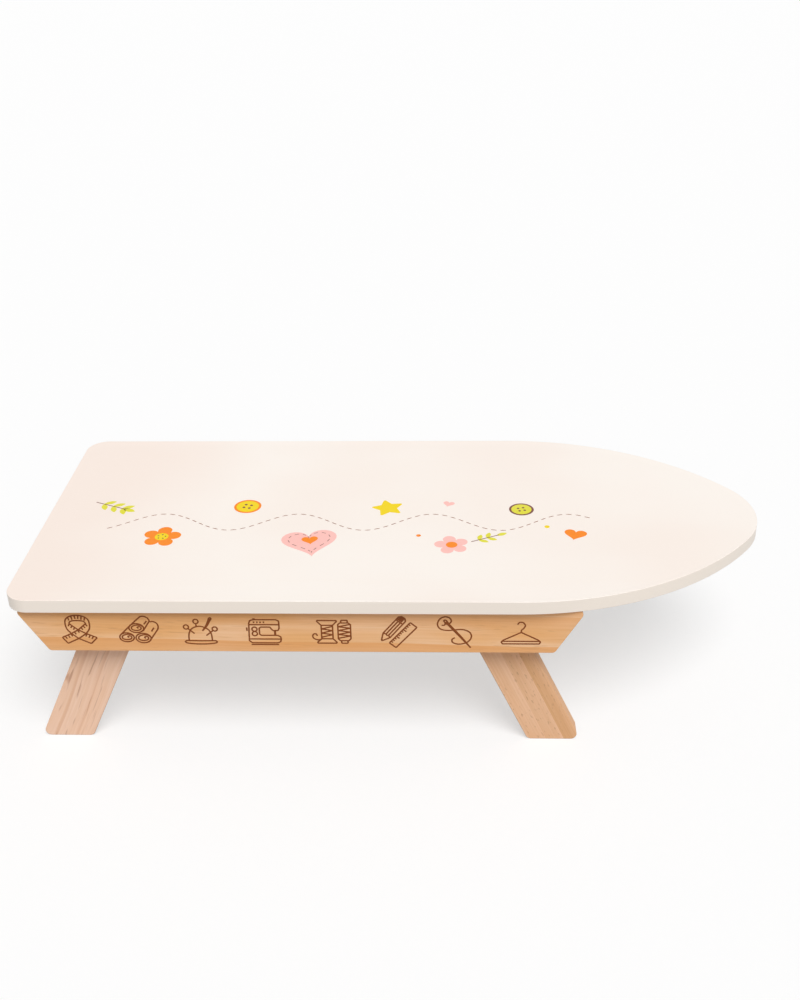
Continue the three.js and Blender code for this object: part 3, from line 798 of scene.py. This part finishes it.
INK_SUNK = 0.2 * mm
INK_THICKNESS = 0.03 * mm
STITCH_LENGTH = 4.2 * mm
STITCH_WIDTH = 0.7 * mm
STITCH_PITCH = 6.4 * mm
STITCH_SIDES = 12
THREAD_START, THREAD_END = -196 * mm, 128 * mm
THREAD_MIDDLE = -14 * mm
THREAD_SWING = 11 * mm
THREAD_WAVE = 92 * mm
THREAD_STEPS = 160
PETAL_DEPTH = 0.42
PETAL_ROUNDNESS = 0.7
STAR_WAIST = 0.5
STAR_SOFTNESS = 0.09
BUTTON_FACE = 0.82
BUTTON_HOLE = 0.11
BUTTON_HOLES_OUT = 0.3
STEM_WIDTH = 0.7
STEM_LENGTH = 0.86
LEAF_LEAN = 48
LEAF_LENGTH, LEAF_WIDTH = 0.3, 0.14
LEAVES_FROM, LEAVES_PITCH = 0.22, 0.26
LEAF_FULLNESS = 0.8
TIP_LEAF_LENGTH, TIP_LEAF_WIDTH = 0.32, 0.15
TIP_LEAF_FROM = 0.78
HEART_STITCHES = 18
HEART_STITCH_WIDTH = 0.45
INK_COLOURS = {
    "pink": (colour(255, 196, 188), colour(252, 208, 200)),
    "orange": (colour(252, 140, 36), colour(248, 156, 66)),
    "yellow": (colour(246, 216, 26), colour(244, 222, 70)),
    "lime": (colour(228, 222, 66), colour(232, 226, 104)),
    "brown": (colour(124, 76, 66), colour(150, 106, 94)),
}


def disc(radius, count=32):
    return ellipse(0, 0, radius, radius, count)[:-1]


def heart(width, count=48):
    """A heart whose point is towards -Y."""
    scale = width / 32
    return [(scale * 16 * math.sin(t) ** 3,
             scale * (13 * math.cos(t) - 5 * math.cos(2 * t) - 2 * math.cos(3 * t) - math.cos(4 * t)))
            for t in round_angles(count)]


def flower(radius, petals=5, count=80):
    """Petals round a middle, as one wavy outline."""
    outline = []
    for a in round_angles(count):
        reach = radius * (1 - PETAL_DEPTH + PETAL_DEPTH * abs(math.cos(a * petals / 2)) ** PETAL_ROUNDNESS)
        outline.append((reach * math.cos(a), reach * math.sin(a)))
    return outline


def star(radius, points=5):
    """A star with soft points."""
    corners = []
    for i in range(2 * points):
        reach = radius * (STAR_WAIST if i % 2 else 1)
        a = QUARTER_TURN + math.pi * i / points
        corners.append((Vector((reach * math.cos(a), reach * math.sin(a), 0)), radius * STAR_SOFTNESS))
    return [point.xy for point in rounded_outline(corners)]


def leaf(length, width, count=12):
    """A leaf that grows from its foot along +X."""
    edge = [(length * i / count, width / 2 * math.sin(math.pi * i / count) ** LEAF_FULLNESS)
            for i in range(count + 1)]
    return edge + [(x, -y) for x, y in edge[-2:0:-1]]


def band(start, end, width):
    """A straight stroke between two places."""
    start, end = Vector(start), Vector(end)
    across = (start - end).orthogonal().normalized() * width / 2
    return [start + across, end + across, end - across, start - across]


inks = {ink: bmesh.new() for ink in INK_COLOURS}


def stamp(ink, outline, x, y, degrees=0, layer=1):
    """Adds one patch of ink, in millimetres, turned and moved to its place on the top."""
    turn = Matrix.Rotation(math.radians(degrees), 2)
    places = [turn @ Vector(point) for point in outline]
    low_z = top_face - INK_SUNK
    add_prism(inks[ink], [Vector(((x + p.x) * mm, (y + p.y) * mm, low_z)) for p in places],
              Vector((0, 0, INK_SUNK + layer * INK_THICKNESS)))


def stamp_dots(count, sides, radius, out, x, y, degrees):
    """A ring of brown dots about a place."""
    for i in range(count):
        a = math.radians(degrees + 360 / count * i)
        stamp("brown", disc(radius, sides), x + out * math.cos(a), y + out * math.sin(a), layer=3)


def stamp_button(rim, face, x, y, radius, degrees):
    stamp(rim, disc(radius), x, y)
    stamp(face, disc(radius * BUTTON_FACE), x, y, layer=2)
    stamp_dots(4, 12, radius * BUTTON_HOLE, radius * BUTTON_HOLES_OUT, x, y, degrees)


def stamp_flower(petals, middle, x, y, radius, middle_radius, degrees):
    stamp(petals, flower(radius), x, y, degrees)
    stamp(middle, disc(middle_radius), x, y, layer=2)


def stamp_sprig(x, y, length, degrees, leaves=3):
    """A brown stem with pairs of lime leaves and one at its tip."""
    turn = Matrix.Rotation(math.radians(degrees), 2)
    stamp("brown", band((0, 0), (length * STEM_LENGTH, 0), STEM_WIDTH), x, y, degrees, layer=2)
    for i in range(leaves):
        foot = turn @ Vector((length * (LEAVES_FROM + LEAVES_PITCH * i), 0))
        for side in (-1, 1):
            stamp("lime", leaf(length * LEAF_LENGTH, length * LEAF_WIDTH), x + foot.x, y + foot.y,
                  degrees + side * LEAF_LEAN)
    tip = turn @ Vector((length * TIP_LEAF_FROM, 0))
    stamp("lime", leaf(length * TIP_LEAF_LENGTH, length * TIP_LEAF_WIDTH), x + tip.x, y + tip.y, degrees)


stamp_sprig(-214, 14, 30, -24)
stamp_flower("orange", "yellow", -158, -34, 13, 4.6, 12)
stamp_dots(5, 10, 0.6, 2.6, -158, -34, 12)
stamp_button("orange", "yellow", -106, 8, 9.5, 30)
stamp("pink", heart(37), -58, -40, 10)
stamp("orange", heart(11), -58, -38, 10, layer=2)
seam = heart(28, 4 * HEART_STITCHES)
for i in range(0, len(seam), 4):
    stamp("brown", band(seam[i], seam[i + 2], HEART_STITCH_WIDTH), -58, -39.6, 10, layer=2)
stamp("yellow", star(12.5), -8, 6, 14)
stamp("pink", heart(8), 34, 12, -16)
stamp("orange", disc(1.6, 16), 14, -32)
stamp_flower("pink", "orange", 36, -44, 11.5, 3.8, 30)
stamp_sprig(49, -40, 24, 26, leaves=2)
stamp_button("brown", "lime", 84, 4, 8.5, 60)
stamp("orange", heart(15), 118, -30, -14)
stamp("yellow", disc(1.8, 16), 100, -20)

for ink, tones in INK_COLOURS.items():
    patches = new_piece(f"print_{ink}", inks[ink])
    patches.data.materials.append(printed_ink(f"ink_{ink}", *tones))
    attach(patches, "board")


def make_running_stitch():
    """Lays flat oval stitches at an even pitch along a path in the XY plane."""
    tree, given, result = new_geometry_tree("running_stitch", "Path", ("Pitch", "Length", "Width", "Depth"))
    path = add(tree, "GeometryNodeMeshToCurve", {0: given["Path"]})
    holes = add(tree, "GeometryNodeResampleCurve", {"Curve": path.outputs[0], "Length": given["Pitch"]},
                mode="LENGTH")
    oval = add(tree, "GeometryNodeMeshCylinder", {"Vertices": STITCH_SIDES, "Radius": 0.5, "Depth": 1.0})
    size = add(tree, "ShaderNodeCombineXYZ", {0: given["Length"], 1: given["Width"], 2: given["Depth"]})
    along = add(tree, "FunctionNodeAlignRotationToVector",
                {"Vector": add(tree, "GeometryNodeInputTangent", {}).outputs[0]}, axis="X")
    laid = add(tree, "GeometryNodeInstanceOnPoints",
               {"Points": holes.outputs[0], "Instance": oval.outputs[0], "Rotation": along.outputs[0],
                "Scale": size.outputs[0]})
    end_tree(tree, laid, given, result)
    return tree


thread_path = []
for i in range(THREAD_STEPS + 1):
    x = THREAD_START + (THREAD_END - THREAD_START) * i / THREAD_STEPS
    y = THREAD_MIDDLE + THREAD_SWING * math.sin(math.tau * x / THREAD_WAVE)
    thread_path.append((x / mm, y / mm))
thread = wire("print_thread", [thread_path])
grow(thread, make_running_stitch(), {
    "Pitch": STITCH_PITCH, "Length": STITCH_LENGTH, "Width": STITCH_WIDTH,
    "Depth": INK_SUNK + INK_THICKNESS, "Finish": brown_line})
thread.data.transform(Matrix.Translation((0, 0, top_face - (INK_SUNK - INK_THICKNESS) / 2)))
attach(thread, "board")

# Screws
# Four zinc-plated countersunk screws with a cross slot, driven up through the cross rails into the top.

SCREW_SHANK = 1.75 * mm
SCREW_HEAD_HEIGHT = 2.4 * mm
SCREW_TIP = 2.5 * mm
SCREW_THREAD_PITCH = 1.4 * mm
SCREW_THREAD_DEPTH = 0.35 * mm
SLOT_WIDTH = 0.9 * mm
SLOT_LENGTH = 4.4 * mm
SLOT_DEPTH = 1.1 * mm
LATHE_STEPS = 48
PLATE_SCRATCHES = (150, 2600)
PLATE_SPOTS = (420, 420)
PLATE_SPOT_RANGE = (0.52, 0.66)
PLATE_SPOT_AMOUNT = 0.6
PLATE_SPOT_ROUGHNESS = 0.12
PLATE_ROUGHNESS_SWING = 0.07
PLATE_RELIEF = 0.2
PLATE_RELIEF_DEPTH = 0.02 * mm


def turned(name, profile):
    """A piece turned about Z from its profile of (radius, height) points."""
    bm = bmesh.new()
    points = [bm.verts.new((radius, 0, height)) for radius, height in profile]
    edges = [bm.edges.new(pair) for pair in zip(points, points[1:])]
    bmesh.ops.spin(bm, geom=points + edges, cent=(0, 0, 0), axis=(0, 0, 1), angle=math.tau,
                   steps=LATHE_STEPS, use_merge=True)
    bmesh.ops.remove_doubles(bm, verts=bm.verts, dist=0.001 * mm)
    return new_piece(name, bm)


def make_at_corners():
    """Sets a copy of a prototype at the four corners of a grid, its +Y side outwards."""
    tree, given, result = new_geometry_tree(
        "at_four_corners", "Geometry", ("Spacing Along", "Spacing Across"))
    corners = add(tree, "GeometryNodeMeshGrid",
                  {"Size X": given["Spacing Along"], "Size Y": given["Spacing Across"],
                   "Vertices X": 2, "Vertices Y": 2})
    place = add(tree, "GeometryNodeInputPosition", {}).outputs[0]
    y = add(tree, "ShaderNodeSeparateXYZ", {0: place}).outputs[1]
    half_turn = calc(tree, "MULTIPLY", calc(tree, "LESS_THAN", y, 0.0), math.pi)
    turn = add(tree, "ShaderNodeCombineXYZ", {2: half_turn})
    set_up = add(tree, "GeometryNodeInstanceOnPoints",
                 {"Points": corners.outputs[0], "Instance": given["Geometry"], "Rotation": turn.outputs[0]})
    end_tree(tree, set_up, given, result)
    return tree


def plated(name, body, dull, roughness):
    """Plated metal with fine scratches, and dull spots where the plating has aged."""
    material, tree, shader = new_material(name)
    place = add(tree, "ShaderNodeTexCoord", {}).outputs["Object"]
    scratches = stretched_noise(tree, place, PLATE_SCRATCHES, detail=3.0)
    spots = rise(tree, stretched_noise(tree, place, PLATE_SPOTS), *PLATE_SPOT_RANGE)
    scratched = rise(tree, scratches, *NOISE_RANGE, roughness - PLATE_ROUGHNESS_SWING,
                     roughness + PLATE_ROUGHNESS_SWING)
    feed(tree, shader, {
        "Base Color": tinted(tree, body, dull, spots, PLATE_SPOT_AMOUNT),
        "Metallic": 1.0,
        "Roughness": calc(tree, "ADD", scratched, calc(tree, "MULTIPLY", spots, PLATE_SPOT_ROUGHNESS)),
        "Normal": relief(tree, scratches, PLATE_RELIEF, PLATE_RELIEF_DEPTH)})
    return material


def set_at_corners(piece, nodes, finish):
    """Copies a prototype to the places of four CAD nodes, two at each end, and stands it for them."""
    boxes = [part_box(node) for node in nodes]
    middles = [(low + high) / 2 for low, high in boxes]
    centre = sum(middles, Vector()) / len(middles)
    along = max(m.x for m in middles) - min(m.x for m in middles)
    across = max(m.y for m in middles) - min(m.y for m in middles)
    grow(piece, at_four_corners, {"Spacing Along": along, "Spacing Across": across, "Finish": finish})
    piece.data.transform(Matrix.Translation(centre))
    smooth_rounds(piece)
    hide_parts(*nodes)
    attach(piece, "board")


at_four_corners = make_at_corners()
zinc_plate = plated("zinc_plate", colour(200, 203, 208), colour(158, 160, 162), roughness=0.34)

low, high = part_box("left_front_screw")
head_radius = (high.x - low.x) / 2
half_length = (high.z - low.z) / 2
thread_turns = int((2 * half_length - SCREW_HEAD_HEIGHT - SCREW_TIP) / SCREW_THREAD_PITCH)
core_radius = SCREW_SHANK - SCREW_THREAD_DEPTH
neck = SCREW_HEAD_HEIGHT - half_length
profile = [(0, -half_length), (head_radius, -half_length), (core_radius, neck)]
for i in range(thread_turns):
    height = neck + i * SCREW_THREAD_PITCH
    profile += [(SCREW_SHANK, height + SCREW_THREAD_PITCH / 2), (core_radius, height + SCREW_THREAD_PITCH)]
profile.append((0, half_length))
screws = turned("countersunk_screws", profile)
for quarter in range(2):
    slot_bit = bmesh.new()
    bmesh.ops.create_cube(slot_bit, size=1, matrix=Matrix.Translation((0, 0, -half_length))
                          @ Matrix.Rotation(quarter * QUARTER_TURN, 4, "Z")
                          @ Matrix.Diagonal((SLOT_LENGTH, SLOT_WIDTH, 2 * SLOT_DEPTH, 1)))
    drill(screws, slot_bit)
set_at_corners(screws, corner_nodes("screw"), zinc_plate)

# Legs
# Four splayed pine legs with rounded feet, bare and sanded. Each leg's outer top corner stops under the top
# board, and its inner one is round about the pivot so that it can fold in. A pair turns on its own two bolts.

LEG_WIDTH = 31.5 * mm
LEG_SPLAY = math.radians(25)
LEG_FOOT_CORNER = 4 * mm
LEG_STOP_CORNER = 1 * mm
LEG_EDGE = 0.7 * mm
PIVOT_HOLE = 2.6 * mm

pivots = {joint["child"]: Vector(joint["pos_m"]) for joint in frame["joints"]}


def leg_corner(pivot, outwards, edge, z, y):
    """Where one long edge of a leg, -1 outside and 1 inside, meets a level z."""
    drop = pivot.z - z
    along = (drop - edge * LEG_WIDTH / 2 * math.sin(LEG_SPLAY)) / math.cos(LEG_SPLAY)
    x = along * math.sin(LEG_SPLAY) - edge * LEG_WIDTH / 2 * math.cos(LEG_SPLAY)
    return Vector((pivot.x + outwards * x, y, z))


leg_woods = {
    "left": dict(early=colour(251, 213, 187), late=colour(232, 182, 148), blush=colour(249, 204, 172),
                 fleck=colour(172, 118, 88), end=colour(206, 162, 122), ring_width=9.5 * mm, late_share=0.22,
                 wander=9 * mm, fleck_length=22 * mm, late_amount=0.65, fleck_amount=0.55),
    "right": dict(early=colour(252, 208, 174), late=colour(215, 159, 101), blush=colour(247, 195, 152),
                  fleck=colour(164, 112, 80), end=colour(206, 156, 108), ring_width=10.5 * mm,
                  late_share=2, wander=4 * mm, fleck_length=4 * mm, late_amount=0.8, fleck_amount=0.4),
}
LEG_HEARTS = {"left": (-26 * mm, 22 * mm), "right": (119.8 * mm, 20 * mm)}
for end, outwards in zip(ENDS, (-1, 1)):
    pivot = pivots[f"{end}_legs"]
    grain_turn = (0, QUARTER_TURN - outwards * LEG_SPLAY, 0)
    for face, side in zip(FACES, (-1, 1)):
        low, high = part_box(f"{end}_{face}_leg")
        stop_z = pivot.z + LEG_WIDTH / 2
        outline = rounded_outline([
            (leg_corner(pivot, outwards, -1, stop_z, low.y), LEG_STOP_CORNER),
            (leg_corner(pivot, outwards, 1, stop_z, low.y), LEG_WIDTH / 2),
            (leg_corner(pivot, outwards, 1, low.z, low.y), LEG_FOOT_CORNER),
            (leg_corner(pivot, outwards, -1, low.z, low.y), LEG_FOOT_CORNER),
        ])
        leg = sawn_board(f"{end}_{face}_pine_leg", outline, Vector((0, high.y - low.y, 0)), LEG_EDGE)
        bits = bmesh.new()
        drill_for(bits, f"{end}_stretcher")
        drill_bit(bits, Vector((pivot.x, low.y - DRILL_END_ROOM, pivot.z)),
                  Vector((pivot.x, high.y + DRILL_END_ROOM, pivot.z)), PIVOT_HOLE)
        aside, ahead = LEG_HEARTS[end]
        outer_y = high.y if face == "rear" else low.y
        heart_place = (pivot.x + aside * math.cos(LEG_SPLAY), outer_y + side * ahead,
                       pivot.z + aside * outwards * math.sin(LEG_SPLAY))
        finish_board(leg, bits, wood(f"{end}_{face}_leg_pine", heart=heart_place, turn=grain_turn,
                                     roughness=0.62, **leg_woods[end]))
        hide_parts(f"{end}_{face}_leg")
        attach(leg, f"{end}_legs")

# Stretchers
# A turned beech rod joins the two legs of each pair, so that they fold together. Its chamfered ends are
# glued into blind holes in the legs.

STRETCHER_CHAMFER = 0.8 * mm


def chamfered(bore, radius, half_length, chamfer):
    """The profile of a rod or ring with chamfered rims."""
    return [(bore, -half_length), (radius - chamfer, -half_length), (radius, chamfer - half_length),
            (radius, half_length - chamfer), (radius - chamfer, half_length), (bore, half_length)]


for end in ENDS:
    middle, radius, half_length = round_along_y(f"{end}_stretcher")
    rod = turned(f"{end}_beech_stretcher", chamfered(0, radius, half_length, STRETCHER_CHAMFER))
    rod.data.transform(Matrix.Translation(middle) @ Matrix.Rotation(QUARTER_TURN, 4, "X"))
    smooth_rounds(rod)
    rod.data.materials.append(beech)
    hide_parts(f"{end}_stretcher")
    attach(rod, f"{end}_legs")

# Pivot bolts, washers and inserts
# Each leg turns on a zinc-plated bolt, driven from inside through a washer, the leg and a second washer
# into a brass insert in the rail. The bolts have a low domed head with a hexagon socket.

BOLT_RADIUS = 2.5 * mm
BOLT_HEAD_HEIGHT = 3 * mm
BOLT_DOME = 0.8 * mm
BOLT_DOME_STEPS = 6
BOLT_TIP = 0.6 * mm
SOCKET_WIDTH = 3 * mm
SOCKET_DEPTH = 1.8 * mm
WASHER_BORE = 2.6 * mm
WASHER_EASE = 0.15 * mm

_, head_radius, half_length = round_along_y("left_rear_pivot_bolt")
dome = [(head_radius - BOLT_DOME * (1 - math.sin(a)), BOLT_DOME * (1 - math.cos(a)) - half_length)
        for a in (QUARTER_TURN * i / BOLT_DOME_STEPS for i in range(BOLT_DOME_STEPS + 1))]
seat = BOLT_HEAD_HEIGHT - half_length
bolts = turned("pivot_bolts", [
    (0, -half_length), *dome, (head_radius, seat), (BOLT_RADIUS, seat),
    (BOLT_RADIUS, half_length - BOLT_TIP), (BOLT_RADIUS - BOLT_TIP, half_length), (0, half_length)])
socket_bit = bmesh.new()
bmesh.ops.create_cone(socket_bit, cap_ends=True, segments=6, radius1=SOCKET_WIDTH / math.sqrt(3),
                      radius2=SOCKET_WIDTH / math.sqrt(3), depth=2 * SOCKET_DEPTH,
                      matrix=Matrix.Translation((0, 0, -half_length)))
drill(bolts, socket_bit)
bolts.data.transform(Matrix.Rotation(-QUARTER_TURN, 4, "X"))
set_at_corners(bolts, corner_nodes("pivot_bolt"), zinc_plate)

for kind in ("rail_washer", "head_washer"):
    _, radius, half_length = round_along_y(f"left_rear_{kind}")
    profile = chamfered(WASHER_BORE, radius, half_length, WASHER_EASE)
    washers = turned(f"{kind}s", profile + profile[:1])
    washers.data.transform(Matrix.Rotation(-QUARTER_TURN, 4, "X"))
    set_at_corners(washers, corner_nodes(kind), zinc_plate)

plain_brass = plated("plain_brass", colour(206, 170, 92), colour(160, 124, 64), roughness=0.36)
for node in corner_nodes("threaded_insert"):
    frame["nodes"][node].material_slots[0].material = plain_brass

# Photograph's view
# The camera stands a little right of the board's middle and looks down on it, as in the photograph.

CAMERA_PLACE = (35.22 * mm, -751.09 * mm, 538.14 * mm)
CAMERA_HEADING = math.radians(2.631)
CAMERA_TILT = math.radians(61.476)
CAMERA_ROLL = math.radians(-1.241)
CAMERA_LENS = 45

camera_data = bpy.data.cameras.new("camera")
camera_data.lens = CAMERA_LENS
camera = in_scene("camera", camera_data)
camera.matrix_world = (Matrix.Translation(CAMERA_PLACE) @ Matrix.Rotation(CAMERA_HEADING, 4, "Z")
                       @ Matrix.Rotation(CAMERA_TILT, 4, "X") @ Matrix.Rotation(CAMERA_ROLL, 4, "Z"))
bpy.context.scene.camera = camera

# Studio
# A plain white floor that runs out of sight, an even white sky, and one broad far lamp up at the front right.
# The floor is clear from below, so that the underside can be looked at.

FLOOR_SIZE = 60
FLOOR_DROP = 0.05 * mm
FLOOR_TONE_FOR_LIGHT = (180, 180, 180)
FLOOR_TONE = (252, 252, 252)
FLOOR_ROUGHNESS = 0.9
FLOOR_GLOW = 0.55
SKY_LIGHT = 0.33
LAMP_LIGHT = 2.45
LAMP_BREADTH = math.radians(35)
LAMP_HEIGHT = math.radians(57)
LAMP_SIDE = math.radians(20)
WHITE = (1, 1, 1, 1)


def seen_directly(tree):
    """1 where the camera sees a surface itself, in a reflection or through glass, and 0 for its light."""
    path = add(tree, "ShaderNodeLightPath", {}).outputs
    seen = calc(tree, "MAXIMUM", path["Is Camera Ray"], path["Is Glossy Ray"])
    return calc(tree, "MAXIMUM", seen, path["Is Transmission Ray"])


def mix_shaders(tree, factor, first, second):
    return add(tree, "ShaderNodeMixShader", {0: factor, 1: first.outputs[0], 2: second.outputs[0]})


bm = bmesh.new()
bmesh.ops.create_grid(bm, x_segments=1, y_segments=1, size=FLOOR_SIZE / 2,
                      matrix=Matrix.Translation((0, 0, -FLOOR_DROP)))
floor = new_piece("studio_floor", bm)
floor_material, tree, shader = new_material("white_floor")
seen = seen_directly(tree)
tone = mix(tree, seen, colour(*FLOOR_TONE_FOR_LIGHT), colour(*FLOOR_TONE))
feed(tree, shader, {"Base Color": tone, "Roughness": FLOOR_ROUGHNESS})
glow = add(tree, "ShaderNodeEmission", {"Color": WHITE, "Strength": 1.0})
lit = mix_shaders(tree, calc(tree, "MULTIPLY", seen, FLOOR_GLOW), shader, glow)
from_below = add(tree, "ShaderNodeNewGeometry", {}).outputs["Backfacing"]
clear = add(tree, "ShaderNodeBsdfTransparent", {})
surface = mix_shaders(tree, from_below, lit, clear)
feed(tree, tree.nodes["Material Output"], {"Surface": surface.outputs[0]})
floor.data.materials.append(floor_material)

world = bpy.data.worlds.new("studio")
world.use_nodes = True
bpy.context.scene.world = world
tree = world.node_tree
sky = tree.nodes["Background"]
feed(tree, sky, {"Color": WHITE, "Strength": SKY_LIGHT})
backdrop = add(tree, "ShaderNodeBackground", {"Color": WHITE, "Strength": 1.0})
surface = mix_shaders(tree, seen_directly(tree), sky, backdrop)
feed(tree, tree.nodes["World Output"], {"Surface": surface.outputs[0]})

lamp_data = bpy.data.lights.new("far_lamp", "SUN")
lamp_data.energy = LAMP_LIGHT
lamp_data.angle = LAMP_BREADTH
lamp = in_scene("far_lamp", lamp_data)
reach = math.cos(LAMP_HEIGHT)
towards_lamp = Vector((math.sin(LAMP_SIDE) * reach, -math.cos(LAMP_SIDE) * reach, math.sin(LAMP_HEIGHT)))
lamp.rotation_euler = towards_lamp.to_track_quat("Z", "Y").to_euler()
bpy.context.scene.view_settings.view_transform = "Standard"
